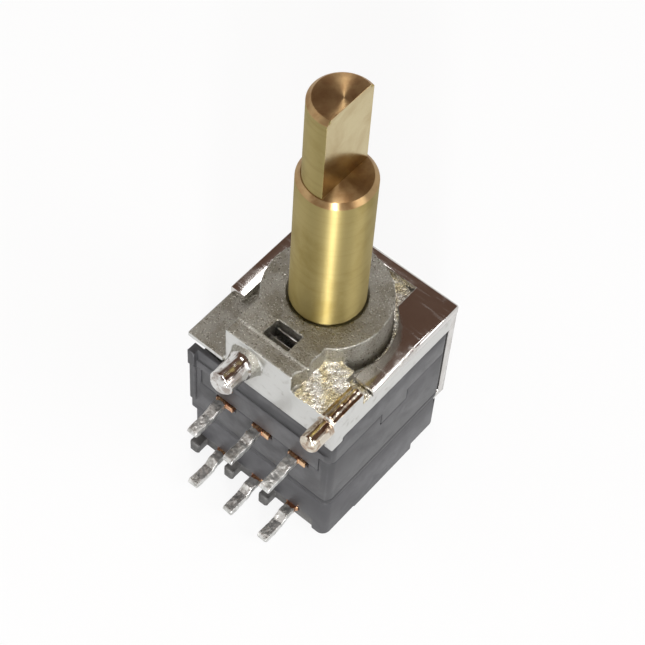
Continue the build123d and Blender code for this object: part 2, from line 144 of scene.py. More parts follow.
def crumple(point, scale, seed=0.0):
    """Folded, creased relief between -1 and 0.4."""
    total, size, weight = 0.0, scale, 1.0
    for octave in range(3):
        total -= weight * abs(ripple(point, size, seed + 7.3 * octave))
        size, weight = size * 2.1, weight * 0.5
    return total + 0.4


# ------------------------------------------------------------------ shader groups
def new_group(name, numbers, results):
    """An empty shader node group with number inputs and the named outputs."""
    group = bpy.data.node_groups.new(name, "ShaderNodeTree")
    for label, value in numbers:
        socket = group.interface.new_socket(label, in_out="INPUT", socket_type="NodeSocketFloat")
        socket.default_value = value
    for label, kind in results:
        group.interface.new_socket(label, in_out="OUTPUT", socket_type=kind)
    return group, group.nodes.new("NodeGroupInput"), group.nodes.new("NodeGroupOutput")


def put(tree, kind, settings=None, **values):
    """A node with its settings and its unlinked input values."""
    node = tree.nodes.new("ShaderNode" + kind)
    for key, value in (settings or {}).items():
        setattr(node, key, value)
    for key, value in values.items():
        key = int(key[1:]) if key[0] == "i" and key[1:].isdigit() else key.replace("_", " ")
        node.inputs[key].default_value = value
    return node


def join(tree, source, target):
    tree.links.new(source, target)


def millimetres(tree):
    """Object coordinates in millimetres."""
    place = put(tree, "TexCoord")
    scaled = put(tree, "VectorMath", {"operation": "SCALE"}, Scale=1000.0)
    join(tree, place.outputs["Object"], scaled.inputs[0])
    return scaled.outputs[0]


def arithmetic(tree, operation, first, second=None):
    """A Math node; first and second are sockets or numbers."""
    node = put(tree, "Math", {"operation": operation})
    for slot, value in enumerate((first, second)):
        if value is None:
            continue
        if isinstance(value, (int, float)):
            node.inputs[slot].default_value = value
        else:
            join(tree, value, node.inputs[slot])
    return node.outputs[0]


def spread(tree, value, low, high, to_low=0.0, to_high=1.0):
    """Maps low..high to to_low..to_high, smoothly and clamped."""
    node = put(tree, "MapRange", {"interpolation_type": "SMOOTHSTEP", "clamp": True})
    join(tree, value, node.inputs["Value"])
    for key, number in (("From Min", low), ("From Max", high), ("To Min", to_low), ("To Max", to_high)):
        if isinstance(number, (int, float)):
            node.inputs[key].default_value = number
        else:
            join(tree, number, node.inputs[key])
    return node.outputs[0]


def make_grain():
    """Grain: fine lumps for a bump, and scattered bright specks."""
    group, given, result = new_group("grain", [("Lumps per mm", 4.0), ("Speck size", 0.12)],
                                     [("Height", "NodeSocketFloat"), ("Specks", "NodeSocketFloat")])
    place = millimetres(group)
    lumps = put(group, "TexNoise", Detail=5.0, Roughness=0.62)
    join(group, place, lumps.inputs["Vector"])
    join(group, given.outputs["Lumps per mm"], lumps.inputs["Scale"])
    cells = put(group, "TexVoronoi", {"feature": "F1"})
    join(group, place, cells.inputs["Vector"])
    join(group, arithmetic(group, "MULTIPLY", given.outputs["Lumps per mm"], 0.9), cells.inputs["Scale"])
    small = arithmetic(group, "LESS_THAN", cells.outputs["Distance"], given.outputs["Speck size"])
    join(group, lumps.outputs["Fac"], result.inputs["Height"])
    join(group, small, result.inputs["Specks"])
    return group


def make_patches():
    """Patches: large soft areas, for tarnish, stains and handling, and for patches of painted gold
    reflection.
    """
    group, given, result = new_group("patches", [("Per mm", 0.5), ("From", 0.42), ("To", 0.62)],
                                     [("Mask", "NodeSocketFloat")])
    cloud = put(group, "TexNoise", Detail=6.0, Roughness=0.6, Distortion=0.4)
    join(group, millimetres(group), cloud.inputs["Vector"])
    join(group, given.outputs["Per mm"], cloud.inputs["Scale"])
    mask = spread(group, cloud.outputs["Fac"], given.outputs["From"], given.outputs["To"])
    join(group, mask, result.inputs["Mask"])
    return group


def make_scratches():
    """Scratches: long thin lines, stretched along X, Y or Z."""
    group, given, result = new_group("scratches", [("Across X", 1.0), ("Across Y", 1.0), ("Across Z", 1.0),
                                                   ("Thinness", 0.62)],
                                     [("Mask", "NodeSocketFloat"), ("Height", "NodeSocketFloat")])
    stretch = put(group, "CombineXYZ")
    for axis in "XYZ":
        join(group, given.outputs["Across " + axis], stretch.inputs[axis])
    place = put(group, "VectorMath", {"operation": "MULTIPLY"})
    join(group, millimetres(group), place.inputs[0])
    join(group, stretch.outputs[0], place.inputs[1])
    lines = put(group, "TexNoise", Scale=1.0, Detail=3.0, Roughness=0.55)
    join(group, place.outputs[0], lines.inputs["Vector"])
    high = arithmetic(group, "ADD", given.outputs["Thinness"], 0.08)
    mask = spread(group, lines.outputs["Fac"], given.outputs["Thinness"], high)
    join(group, mask, result.inputs["Mask"])
    join(group, lines.outputs["Fac"], result.inputs["Height"])
    return group


def make_edge_wear():
    """Edge wear: where the surface is convex, broken up by noise; and the hollows."""
    group, given, result = new_group("edge wear", [("From", 0.52), ("To", 0.6), ("Breaks per mm", 2.0)],
                                     [("Edges", "NodeSocketFloat"), ("Hollows", "NodeSocketFloat")])
    form = put(group, "NewGeometry")
    breaks = put(group, "TexNoise", Detail=3.0)
    join(group, millimetres(group), breaks.inputs["Vector"])
    join(group, given.outputs["Breaks per mm"], breaks.inputs["Scale"])
    edges = spread(group, form.outputs["Pointiness"], given.outputs["From"], given.outputs["To"])
    broken = spread(group, breaks.outputs["Fac"], 0.35, 0.6, 0.35, 1.0)
    join(group, arithmetic(group, "MULTIPLY", edges, broken), result.inputs["Edges"])
    hollows = spread(group, form.outputs["Pointiness"], 0.40, 0.485, 1.0, 0.0)
    join(group, hollows, result.inputs["Hollows"])
    return group


def make_turning():
    """Turning marks: rings round Z on walls and end faces alike."""
    group, given, result = new_group("turning marks", [("Lines per mm", 30.0)],
                                     [("Height", "NodeSocketFloat"), ("Fine", "NodeSocketFloat")])
    parts = put(group, "SeparateXYZ")
    join(group, millimetres(group), parts.inputs[0])
    square = arithmetic(group, "ADD", arithmetic(group, "MULTIPLY", parts.outputs[0], parts.outputs[0]),
                        arithmetic(group, "MULTIPLY", parts.outputs[1], parts.outputs[1]))
    radius = arithmetic(group, "SQRT", square)
    along = arithmetic(group, "ADD", radius, parts.outputs[2])
    lines = put(group, "TexNoise", {"noise_dimensions": "1D"}, Detail=4.0, Roughness=0.7)
    join(group, along, lines.inputs["W"])
    join(group, given.outputs["Lines per mm"], lines.inputs["Scale"])
    fine = put(group, "TexNoise", {"noise_dimensions": "1D"}, Detail=2.0, Roughness=0.5)
    join(group, along, fine.inputs["W"])
    join(group, arithmetic(group, "MULTIPLY", given.outputs["Lines per mm"], 0.08), fine.inputs["Scale"])
    join(group, lines.outputs["Fac"], result.inputs["Height"])
    join(group, fine.outputs["Fac"], result.inputs["Fine"])
    return group


GRAIN, PATCHES, SCRATCHES = make_grain(), make_patches(), make_scratches()
EDGE_WEAR, TURNING = make_edge_wear(), make_turning()


# ------------------------------------------------------------------ finishes
class Finish:
    """A material with one Principled shader, and short ways to feed it."""

    def __init__(self, name, colour, metallic, roughness, **values):
        self.material = bpy.data.materials.new(name)
        self.material.use_nodes = True
        self.tree = self.material.node_tree
        self.shader = self.tree.nodes["Principled BSDF"]
        self.set("Base Color", (*colour, 1))
        self.set("Metallic", metallic)
        self.set("Roughness", roughness)
        for key, value in values.items():
            self.set(key.replace("_", " "), value)
        self.material.diffuse_color = (*colour, 1)

    def set(self, socket, value):
        self.shader.inputs[socket].default_value = value

    def effect(self, group, **values):
        node = self.tree.nodes.new("ShaderNodeGroup")
        node.node_tree = group
        for key, value in values.items():
            node.inputs[key.replace("_", " ")].default_value = value
        return node.outputs

    def blend(self, first, second, mask):
        """Mixes two colours, or a colour and what is already there, by a mask."""
        mix = put(self.tree, "Mix", {"data_type": "RGBA"})
        join(self.tree, mask, mix.inputs[0])
        for slot, colour in ((6, first), (7, second)):
            if isinstance(colour, tuple):
                mix.inputs[slot].default_value = (*colour, 1)
            else:
                join(self.tree, colour, mix.inputs[slot])
        return mix.outputs[2]

    def feed(self, socket, source):
        join(self.tree, source, self.shader.inputs[socket])

    def vary(self, mask, low, high, first=0.0, second=1.0):
        return spread(self.tree, mask, first, second, low, high)

    def bump(self, height, depth, strength=1.0, under=None):
        """A bump of so many millimetres; under is the normal it lies on."""
        node = put(self.tree, "Bump", Strength=strength, Distance=depth * MM)
        join(self.tree, height, node.inputs["Height"])
        if under is not None:
            join(self.tree, under, node.inputs["Normal"])
        join(self.tree, node.outputs[0], self.shader.inputs["Normal"])
        return node.outputs[0]

    def add(self, first, second):
        return arithmetic(self.tree, "ADD", first, second)

    def times(self, first, second):
        return arithmetic(self.tree, "MULTIPLY", first, second)


def radial_tangent(finish):
    tangent = put(finish.tree, "Tangent", {"direction_type": "RADIAL", "axis": "Z"})
    finish.feed("Tangent", tangent.outputs[0])


def turned_brass():
    f = Finish("turned_brass", (0.50, 0.42, 0.20), 1.0, 0.5, Anisotropic=0.93,
               Anisotropic_Rotation=0.25)
    marks = f.effect(TURNING, Lines_per_mm=34.0)
    stain = f.effect(PATCHES, Per_mm=0.35, From=0.4, To=0.7)
    colour = f.blend((0.41, 0.335, 0.14), (0.32, 0.25, 0.085), stain["Mask"])
    colour = f.blend(colour, (0.27, 0.20, 0.065), f.vary(marks["Fine"], 0.0, 0.22, 0.5, 0.8))
    f.feed("Base Color", colour)
    f.feed("Roughness", f.vary(marks["Height"], 0.46, 0.56, 0.3, 0.7))
    f.bump(marks["Height"], 0.0006)
    radial_tangent(f)
    return f.material


def faced_brass_painted_reflection():
    """End face and shoulder: faced on the lathe; their colour, darker and redder than the barrel, is
    painted reflection of the brown light from above.
    """
    f = Finish("faced_brass_painted_reflection", (0.42, 0.30, 0.14), 1.0, 0.3, Anisotropic=0.93,
               Anisotropic_Rotation=0.25)
    marks = f.effect(TURNING, Lines_per_mm=40.0)
    stain = f.effect(PATCHES, Per_mm=0.9, From=0.4, To=0.65)
    # Redder colour: painted reflection of the brown light from above, varied by tarnish patches.
    f.feed("Base Color", f.blend((0.46, 0.31, 0.15), (0.34, 0.20, 0.09), stain["Mask"]))
    f.feed("Roughness", f.vary(marks["Height"], 0.28, 0.40, 0.3, 0.7))
    f.bump(marks["Height"], 0.0006)
    radial_tangent(f)
    return f.material


def milled_brass():
    f = Finish("milled_brass", (0.50, 0.42, 0.21), 1.0, 0.2)
    lines = f.effect(SCRATCHES, Across_X=0.5, Across_Y=1.4, Across_Z=26.0, Thinness=0.55)
    stain = f.effect(PATCHES, Per_mm=0.6, From=0.35, To=0.7)
    f.feed("Base Color", f.blend((0.53, 0.44, 0.235), (0.44, 0.34, 0.16), stain["Mask"]))
    f.feed("Roughness", f.vary(lines["Mask"], 0.14, 0.26))
    f.bump(lines["Height"], 0.0012)
    return f.material


def cast_zinc():
    f = Finish("cast_zinc", (0.50, 0.49, 0.45), 1.0, 0.42)
    grain = f.effect(GRAIN, Lumps_per_mm=8.0, Speck_size=0.2)
    stain = f.effect(PATCHES, Per_mm=0.8, From=0.35, To=0.68)
    wear = f.effect(EDGE_WEAR, From=0.52, To=0.60, Breaks_per_mm=3.0)
    colour = f.blend((0.36, 0.35, 0.31), (0.25, 0.235, 0.19), stain["Mask"])
    colour = f.blend(colour, (0.16, 0.13, 0.09), f.vary(wear["Hollows"], 0.0, 0.8))
    colour = f.blend(colour, (0.66, 0.65, 0.61), f.times(wear["Edges"], 0.5))
    colour = f.blend(colour, (0.72, 0.70, 0.64), f.times(grain["Specks"], 0.8))
    colour = f.blend(colour, (0.13, 0.11, 0.08), f.vary(grain["Height"], 0.55, 0.0, 0.30, 0.42))
    f.feed("Base Color", colour)
    rough = f.vary(grain["Height"], 0.26, 0.46, 0.35, 0.65)
    f.feed("Roughness", f.add(rough, f.times(wear["Edges"], -0.08)))
    f.bump(grain["Height"], 0.07)
    return f.material


def crumpled_zinc_painted_highlight():
    # Painted highlight: a much brighter copy of the zinc for the shelf floor and the gutter.
    f = Finish("crumpled_zinc_painted_highlight", (0.72, 0.70, 0.62), 1.0, 0.2)
    grain = f.effect(GRAIN, Lumps_per_mm=5.5, Speck_size=0.25)
    # The gold patches are painted reflection of the brass shaft on the shelf.
    stain = f.effect(PATCHES, Per_mm=1.1, From=0.4, To=0.62)
    colour = f.blend((0.86, 0.84, 0.78), (0.74, 0.66, 0.44), stain["Mask"])
    colour = f.blend(colour, (0.22, 0.17, 0.11), f.vary(grain["Height"], 0.75, 0.0, 0.34, 0.44))
    f.feed("Base Color", colour)
    f.feed("Roughness", f.vary(grain["Height"], 0.14, 0.34, 0.35, 0.65))
    f.bump(grain["Height"], 0.16)
    return f.material


def drawn_zinc():
    f = Finish("drawn_zinc", (0.58, 0.58, 0.56), 1.0, 0.33)
    lines = f.effect(SCRATCHES, Across_X=0.6, Across_Y=0.6, Across_Z=9.0, Thinness=0.6)
    stain = f.effect(PATCHES, Per_mm=1.4, From=0.55, To=0.75)
    f.feed("Base Color", f.blend((0.60, 0.60, 0.58), (0.42, 0.41, 0.38), stain["Mask"]))
    f.feed("Roughness", f.vary(lines["Mask"], 0.3, 0.4))
    f.bump(lines["Height"], 0.004)
    return f.material


def bright_post(name, tone, shade):
    f = Finish(name, tone, 1.0, 0.14)
    lines = f.effect(SCRATCHES, Across_X=7.0, Across_Y=0.5, Across_Z=7.0, Thinness=0.55)
    stain = f.effect(PATCHES, Per_mm=1.8, From=0.45, To=0.6)
    f.feed("Base Color", f.blend(tone, shade, stain["Mask"]))
    f.feed("Roughness", f.vary(lines["Mask"], 0.1, 0.24))
    f.bump(lines["Height"], 0.02)
    return f.material


def plated_steel():
    f = Finish("plated_steel", (0.60, 0.58, 0.56), 1.0, 0.16)
    lines = f.effect(SCRATCHES, Across_X=0.5, Across_Y=8.0, Across_Z=8.0, Thinness=0.6)
    stain = f.effect(PATCHES, Per_mm=0.45, From=0.45, To=0.7)
    wear = f.effect(EDGE_WEAR, From=0.53, To=0.62, Breaks_per_mm=2.5)
    grain = f.effect(GRAIN, Lumps_per_mm=1.3, Speck_size=0.05)
    colour = f.blend((0.60, 0.58, 0.56), (0.46, 0.43, 0.40), stain["Mask"])
    colour = f.blend(colour, (0.70, 0.69, 0.66), f.times(wear["Edges"], 0.3))
    f.feed("Base Color", colour)
    rough = f.vary(stain["Mask"], 0.12, 0.32)
    f.feed("Roughness", f.add(rough, f.times(lines["Mask"], 0.1)))
    under = f.bump(grain["Height"], 0.012)
    f.bump(lines["Height"], 0.002, under=under)
    return f.material


def black_moulding(name, tone, rough):
    f = Finish(name, tone, 0.0, rough, Specular_IOR_Level=0.5)
    grain = f.effect(GRAIN, Lumps_per_mm=9.0, Speck_size=0.07)
    wear = f.effect(EDGE_WEAR, From=0.52, To=0.62, Breaks_per_mm=1.5)
    stain = f.effect(PATCHES, Per_mm=0.6, From=0.4, To=0.75)
    dust = tuple(min(1.0, c * 2.2 + 0.02) for c in tone)
    colour = f.blend(tone, tuple(c * 1.35 + 0.003 for c in tone), stain["Mask"])
    colour = f.blend(colour, dust, f.times(grain["Specks"], 0.5))
    colour = f.blend(colour, dust, f.times(wear["Edges"], 0.6))
    f.feed("Base Color", colour)
    f.feed("Roughness", f.vary(stain["Mask"], rough, rough + 0.14))
    f.bump(grain["Height"], 0.006)
    return f.material


def tinned_strip():
    f = Finish("tinned_strip", (0.50, 0.50, 0.48), 1.0, 0.3)
    grain = f.effect(GRAIN, Lumps_per_mm=6.0, Speck_size=0.2)
    stain = f.effect(PATCHES, Per_mm=2.2, From=0.42, To=0.62)
    wear = f.effect(EDGE_WEAR, From=0.53, To=0.6, Breaks_per_mm=4.0)
    colour = f.blend((0.66, 0.66, 0.64), (0.44, 0.44, 0.42), stain["Mask"])
    colour = f.blend(colour, (0.80, 0.80, 0.78), wear["Edges"])
    f.feed("Base Color", colour)
    f.feed("Roughness", f.vary(grain["Height"], 0.30, 0.50, 0.35, 0.65))
    f.bump(grain["Height"], 0.025)
    return f.material


def bare_brass_strip():
    f = Finish("bare_brass_strip", (0.45, 0.27, 0.12), 1.0, 0.28)
    grain = f.effect(GRAIN, Lumps_per_mm=5.0, Speck_size=0.1)
    stain = f.effect(PATCHES, Per_mm=2.5, From=0.4, To=0.6)
    f.feed("Base Color", f.blend((0.78, 0.50, 0.28), (0.46, 0.20, 0.11), stain["Mask"]))
    f.feed("Roughness", f.vary(grain["Height"], 0.2, 0.4, 0.35, 0.65))
    f.bump(grain["Height"], 0.01)
    return f.material


def spring_bronze():
    f = Finish("spring_bronze", (0.60, 0.42, 0.24), 1.0, 0.22)
    lines = f.effect(SCRATCHES, Across_X=1.0, Across_Y=9.0, Across_Z=9.0, Thinness=0.58)
    stain = f.effect(PATCHES, Per_mm=1.0, From=0.45, To=0.7)
    f.feed("Base Color", f.blend((0.62, 0.44, 0.26), (0.42, 0.26, 0.13), stain["Mask"]))
    f.feed("Roughness", f.vary(lines["Mask"], 0.18, 0.32))
    f.bump(lines["Height"], 0.002)
    return f.material


def spring_steel(name, tone, rough):
    f = Finish(name, tone, 1.0, rough)
    lines = f.effect(SCRATCHES, Across_X=0.7, Across_Y=8.0, Across_Z=8.0, Thinness=0.57)
    stain = f.effect(PATCHES, Per_mm=1.6, From=0.4, To=0.65)
    f.feed("Base Color", f.blend(tone, tuple(c * 0.62 for c in tone), stain["Mask"]))
    f.feed("Roughness", f.vary(lines["Mask"], rough, rough + 0.12))
    f.bump(lines["Height"], 0.003)
    return f.material


BRASS, FLAT_BRASS, END_BRASS = turned_brass(), milled_brass(), faced_brass_painted_reflection()
ZINC, CRUMPLED_PAINTED_HIGHLIGHT, DRAWN = cast_zinc(), crumpled_zinc_painted_highlight(), drawn_zinc()
CHROME_POST = bright_post("bright_post", (0.66, 0.65, 0.63), (0.40, 0.36, 0.33))
# This copy's gold tone is painted gold reflection, used on the right post and the rib of the casting.
POST_PAINTED_GOLD_REFLECTION = bright_post("post_painted_gold_reflection", (0.64, 0.59, 0.50), (0.40, 0.30, 0.22))
STEEL = plated_steel()
BLACK = black_moulding("black_moulding", (0.024, 0.024, 0.026), 0.42)
BLACK_REAR = black_moulding("black_rear_moulding", (0.030, 0.030, 0.033), 0.46)
SEPARATOR = black_moulding("black_separator", (0.014, 0.014, 0.016), 0.45)
WAFER = black_moulding("dark_wafer", (0.05, 0.049, 0.047), 0.5)
ROTOR = black_moulding("natural_rotor", (0.62, 0.57, 0.46), 0.45)
TIN, BARE = tinned_strip(), bare_brass_strip()
BRONZE = spring_bronze()
WINDOW_SPRING = spring_steel("window_spring", (0.62, 0.62, 0.62), 0.14)
RING_STEEL = spring_steel("ring_steel", (0.42, 0.42, 0.43), 0.26)
BALL_STEEL = spring_steel("ball_steel", (0.66, 0.66, 0.68), 0.07)
WHEEL_BRASS = spring_steel("wheel_brass", (0.62, 0.50, 0.26), 0.24)


def dress(piece, *materials):
    piece.data.materials.clear()
    for material in materials:
        piece.data.materials.append(material)


def paint_faces(piece, choose):
    """Gives each face the material slot that choose(centre in mm, normal) says."""
    for face in piece.data.polygons:
        face.material_index = choose(face.center * 1000, face.normal)


def stand_for(piece, node, body):
    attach(piece, body)
    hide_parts(node)


# ------------------------------------------------------------------ shaft
def shaft_piece():
    """The turned shaft with its milled flat, ring by ring up the axis."""
    points = [v.co * 1000 for v in frame["nodes"]["shaft"].data.vertices]
    foot = mounts["shaft_body"]["pos_m"][2] * 1000
    shaft_r = mounts["shaft_body"]["dims"]["r_mm"]
    top = max(p.z for p in points)
    tip = [p for p in points if p.z > foot + mounts["shaft_body"]["dims"]["length_mm"] + 1]
    tip_r = max(abs(p.y) for p in tip)
    flat = max(p.x for p in tip)
    shoulder = min(p.z for p in points if abs(p.x - flat) < 0.01 and p.z > foot + 1)
    bottom = min(p.z for p in points)
    angles = [math.radians(a) for a in range(0, 360, 3)]
    for sign in (1, -1):
        for hundredth in range(7100, 7700, 12):
            angles.append(math.radians(sign * hundredth / 100) % (2 * math.pi))
    angles = sorted(set(angles))

    def ring(z, radius, cut=None, sides=None):
        row = []
        for a in angles:
            r = radius
            if cut is not None and math.cos(a) > 1e-6:
                r = min(r, cut / math.cos(a))
            if sides is not None and abs(math.sin(a)) > 1e-6:
                r = min(r, sides / abs(math.sin(a)))
            row.append((r * math.cos(a), r * math.sin(a), z))
        return row

    # journal pin, two-flat drive, bearing length with its ring groove
    pin_end_r, pin_r = 0.6, 0.75
    drive0, drive1, drive_foot_r, drive_r, drive_half = 1.45, 9.0, 1.35, 1.5, 1.15
    bearing_edge_r, bearing_r = 1.75, 1.8
    groove0, groove1, groove_r = 9.13, 9.45, 1.45
    rows = [ring(bottom, pin_end_r), ring(bottom + 0.12, pin_r)]
    rows += [ring(drive0, pin_r), ring(drive0, drive_foot_r, sides=drive_half)]
    rows += [ring(drive0 + 0.1, drive_r, sides=drive_half), ring(drive1, drive_r, sides=drive_half)]
    rows += [ring(drive1, bearing_edge_r), ring(drive1 + 0.05, bearing_r)]
    rows += [ring(groove0, bearing_r), ring(groove0, groove_r)]
    rows += [ring(groove1, groove_r), ring(groove1, bearing_r)]
    rows += [ring(foot, bearing_r), ring(foot, shaft_r - 0.06)]
    rows += [ring(foot + 0.02, shaft_r - 0.02), ring(foot + 0.06, shaft_r)]
    chamfer = 0.25
    for step in range(1, 12):
        rows.append(ring(foot + (shoulder - chamfer - foot) * step / 12, shaft_r))
    for inset, rise in ((0.0, -0.03), (0.006, -0.008), (0.03, 0.02)):
        rows.append(ring(shoulder - chamfer + rise, shaft_r - inset))
    for inset, rise in ((0.025, -0.025), (0.008, -0.006), (-0.01, 0.0)):
        rows.append(ring(shoulder + rise, shaft_r - chamfer + inset))
    rows.append(ring(shoulder, tip_r, cut=flat))
    rows.append(ring(shoulder + 0.05, tip_r, cut=flat))
    for step in range(1, 9):
        rows.append(ring(shoulder + (top - chamfer - shoulder) * step / 9, tip_r, cut=flat))
    for inset, rise in ((0.0, -0.03), (0.006, -0.008), (0.03, 0.02)):
        rows.append(ring(top - chamfer + rise, tip_r - inset, cut=flat))
    for inset, rise in ((0.025, -0.025), (0.008, -0.006), (-0.01, 0.0)):
        rows.append(ring(top + rise, tip_r - chamfer + inset, cut=flat - (0.0 if rise < -0.01 else 0.012)))
    for share in (0.75, 0.4, 0.12):
        rows.append(ring(top, (tip_r - chamfer) * share, cut=flat * share))
    shape = bmesh.new()
    made = [[shape.verts.new(p) for p in row] for row in rows]
    count = len(angles)
    for low, high in zip(made, made[1:]):
        for i in range(count):
            j = (i + 1) % count
            shape.faces.new((low[i], low[j], high[j], high[i]))
    shape.faces.new(list(reversed(made[0])))
    shape.faces.new(made[-1])
    bmesh.ops.remove_doubles(shape, verts=shape.verts, dist=1e-5)
    bmesh.ops.recalc_face_normals(shape, faces=shape.faces)
    piece = store(shape, "turned_shaft", crease=30)
    dress(piece, BRASS, FLAT_BRASS, END_BRASS)

    def finish_of(c, n):
        if n.x > 0.99 and c.z > shoulder:
            return 1
        # Upward faces take the faced finish; its redder colour is painted reflection of the brown light
        # from above.
        return 2 if n.z > 0.35 else 0

    paint_faces(piece, finish_of)
    stand_for(piece, "shaft", "shaft_set")


# ------------------------------------------------------------------ zinc casting
def near_post(c):
    """Whether a point lies within the radius of one of the two locating posts."""
    for side in ("left", "right"):
        post = mounts["locating_post_" + side]
        x, z = post["pos_m"][0] * 1000, post["pos_m"][2] * 1000
        if math.hypot(c.x - x, c.z - z) < post["dims"]["r_mm"] + 0.06:
            return True
    return False


def casting_piece():
    """The bearing casting with softened edges, crumpled shelf and rough gutter."""
    boss = mounts["boss_face"]["pos_m"][2] * 1000
    left, right = mounts["locating_post_left"], mounts["locating_post_right"]
    left_at = [c * 1000 for c in left["pos_m"]]
    right_at = [c * 1000 for c in right["pos_m"]]
    front = right_at[1]
    _, cover_high = (Vector(v) * 1000 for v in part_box("cover_frame"))
    steel_top = cover_high.z
    steel_front = -1.95
    shelf = steel_top + 0.7
    skin_voxel = 0.07
    shape = remeshed(node_mesh("bearing_housing"), skin_voxel)
    for vert in shape.verts:
        p, n = vert.co.copy(), vert.normal.copy()
        if p.y < front - 0.06:
            # the posts: a light waviness
            shift = 0.012 * ripple(p, 2.2, 3.0)
            vert.co += n * shift
            continue
        shift = 0.006 * ripple(p, 3.0)
        floor = inside(p.z, shelf - 0.25, shelf + 0.05, 0.05) * inside(p.x, 2.3, 3.85, 0.12)
        floor *= inside(p.y, front + 0.12, steel_front - 0.35, 0.15) * smoothstep(0.3, 0.8, n.z)
        shift += floor * 0.17 * crumple(p, 1.5, 5.0)
        rib = inside(p.x, 3.95, 4.85, 0.05) * inside(p.z, shelf - 0.1, shelf + 0.2, 0.02)
        shift += rib * smoothstep(0.2, 0.7, n.z) * 0.035 * crumple(p, 3.0, 2.0)
        radius = math.hypot(p.x, p.y)
        gutter = inside(radius, 3.5, 4.6, 0.1) * inside(p.z, steel_top - 0.6, steel_top + 0.4, 0.1)
        shift += gutter * smoothstep(0.3, 0.8, n.z) * 0.06 * crumple(p, 2.2, 9.0)
        edge = inside(p.z, boss - 0.35, boss, 0.1) * (1 - smoothstep(0.3, 0.7, n.z))
        shift += edge * 0.03 * ripple(p, 2.6, 4.0)
        vert.co += n * shift
        # the torn right-hand side of the neck
        torn = inside(p.x, 1.75, 2.4, 0.2) * inside(p.y, front + 0.3, -2.6, 0.3)
        torn *= inside(p.z, shelf + 0.1, boss, 0.25)
        vert.co.x += torn * 0.28 * ripple(Vector((0, p.y, 0)), 1.3, 6.0)
    for vert in shape.verts:
        vert.co.x = min(max(vert.co.x, cad_low.x * 1000), cad_high.x * 1000)
    shape.normal_update()
    piece = store(shape, "zinc_casting_skin", crease=80)
    dress(piece, ZINC, CRUMPLED_PAINTED_HIGHLIGHT, DRAWN, CHROME_POST, POST_PAINTED_GOLD_REFLECTION)

    def finish_of(c, n):
        if c.y < front - 0.02 and near_post(c):
            to_left = math.hypot(c.x - left_at[0], c.z - left_at[2])
            # The left post takes the bright finish; the right post takes the gold-tinted copy, whose tone
            # is painted reflection.
            return 3 if to_left < 1.5 else 4
        if n.y < -0.75 and c.y < front + 0.2:
            return 2
        if abs(n.x) > 0.75 and abs(c.x) > 4.6:
            return 2
        # The rib on the shelf also takes the gold-tinted post copy: painted reflection.
        if 3.98 < c.x < 4.78 and c.y < -2.7 and n.z > 0.1 and c.z > shelf - 0.05:
            return 4
        # The shelf floor and the gutter take the bright crumpled finish: painted highlight with painted
        # gold reflection.
        if c.x > 2.1 and c.y < steel_front - 0.1 and c.z < shelf + 0.2 and n.z > 0.1:
            return 1
        if 3.55 < math.hypot(c.x, c.y) < 4.8 and c.z < steel_top + 0.1 and c.x > 0:
            return 1
        return 0

    paint_faces(piece, finish_of)
    stand_for(piece, "bearing_housing", "housing")


# ------------------------------------------------------------------ sheet and moulded pieces
def edged_piece(node, name, body, slot, radius, *materials, angle=34):
    """A node's own shape with its sharp edges rounded."""
    shape = node_mesh(node)
    round_edges(shape, radius, angle=angle)
    piece = store(shape, name, crease=40)
    dress(piece, *materials)
    stand_for(piece, node, body)
    return piece


def terminal_piece(node, name):
    """A soldered strip: rounded, with lumps of tin on its free end."""
    strip_voxel, tin_lumps = 0.035, 0.035
    shape = remeshed(node_mesh(node), strip_voxel)
    front = mounts["locating_post_right"]["pos_m"][1] * 1000
    seed = sum(ord(c) for c in node) * 0.37
    for vert in shape.verts:
        p, n = vert.co.copy(), vert.normal.copy()
        free = 1 - smoothstep(front - 0.5, front - 0.15, p.y)
        vert.co += n * free * tin_lumps * (ripple(p, 2.4, seed) + 0.5 * ripple(p, 6.0, seed))
    for vert in shape.verts:
        vert.co.y = max(vert.co.y, cad_low.y * 1000)
        vert.co.z = max(vert.co.z, cad_low.z * 1000)
    shape.normal_update()
    piece = store(shape, name, crease=80)
    dress(piece, TIN, BARE)

    def finish_of(c, _normal):
        if c.y > front - 0.18 + 0.12 * ripple(c, 3.0, seed):
            return 1
        return 0

    paint_faces(piece, finish_of)
    stand_for(piece, node, "housing")


shaft_piece()
casting_piece()
edged_piece("cover_frame", "steel_cover", "housing", "nickel_steel", 0.045, STEEL)
edged_piece("friction_spring", "window_spring_strip", "housing", "nickel_steel", 0.02, WINDOW_SPRING)
edged_piece("upper_housing", "upper_moulding", "housing", "black_plastic", 0.05, BLACK)
edged_piece("middle_housing", "middle_moulding", "housing", "black_plastic", 0.05, BLACK)
edged_piece("separator_plate", "separator_sheet", "housing", "black_plastic", 0.03, SEPARATOR)
edged_piece("rear_cover", "rear_moulding", "housing", "black_plastic", 0.06, BLACK_REAR)
edged_piece("base_wafer", "base_wafer_moulding", "housing", "black_plastic", 0.05, WAFER)
for level in ("upper", "lower"):
    for side in ("left", "middle", "right"):
        terminal_piece(f"{level}_terminal_{side}", f"{level}_{side}_strip")

INNER = {
    "upper_wafer": WAFER, "retaining_ring": RING_STEEL, "thrust_washer": RING_STEEL,
    "detent_wheel": WHEEL_BRASS, "detent_spring": BRONZE, "detent_ball": BALL_STEEL,
    "upper_rotor": ROTOR, "lower_rotor": ROTOR, "upper_brush": BRONZE, "lower_brush": BRONZE,
}
REPLACED = {
    "shaft": BRASS, "bearing_housing": ZINC, "cover_frame": STEEL, "friction_spring": WINDOW_SPRING,
    "upper_housing": BLACK, "middle_housing": BLACK, "separator_plate": SEPARATOR,
    "rear_cover": BLACK_REAR, "base_wafer": WAFER,
}
for node, piece in frame["nodes"].items():
    material = INNER.get(node) or REPLACED.get(node) or TIN
    dress(piece, material)


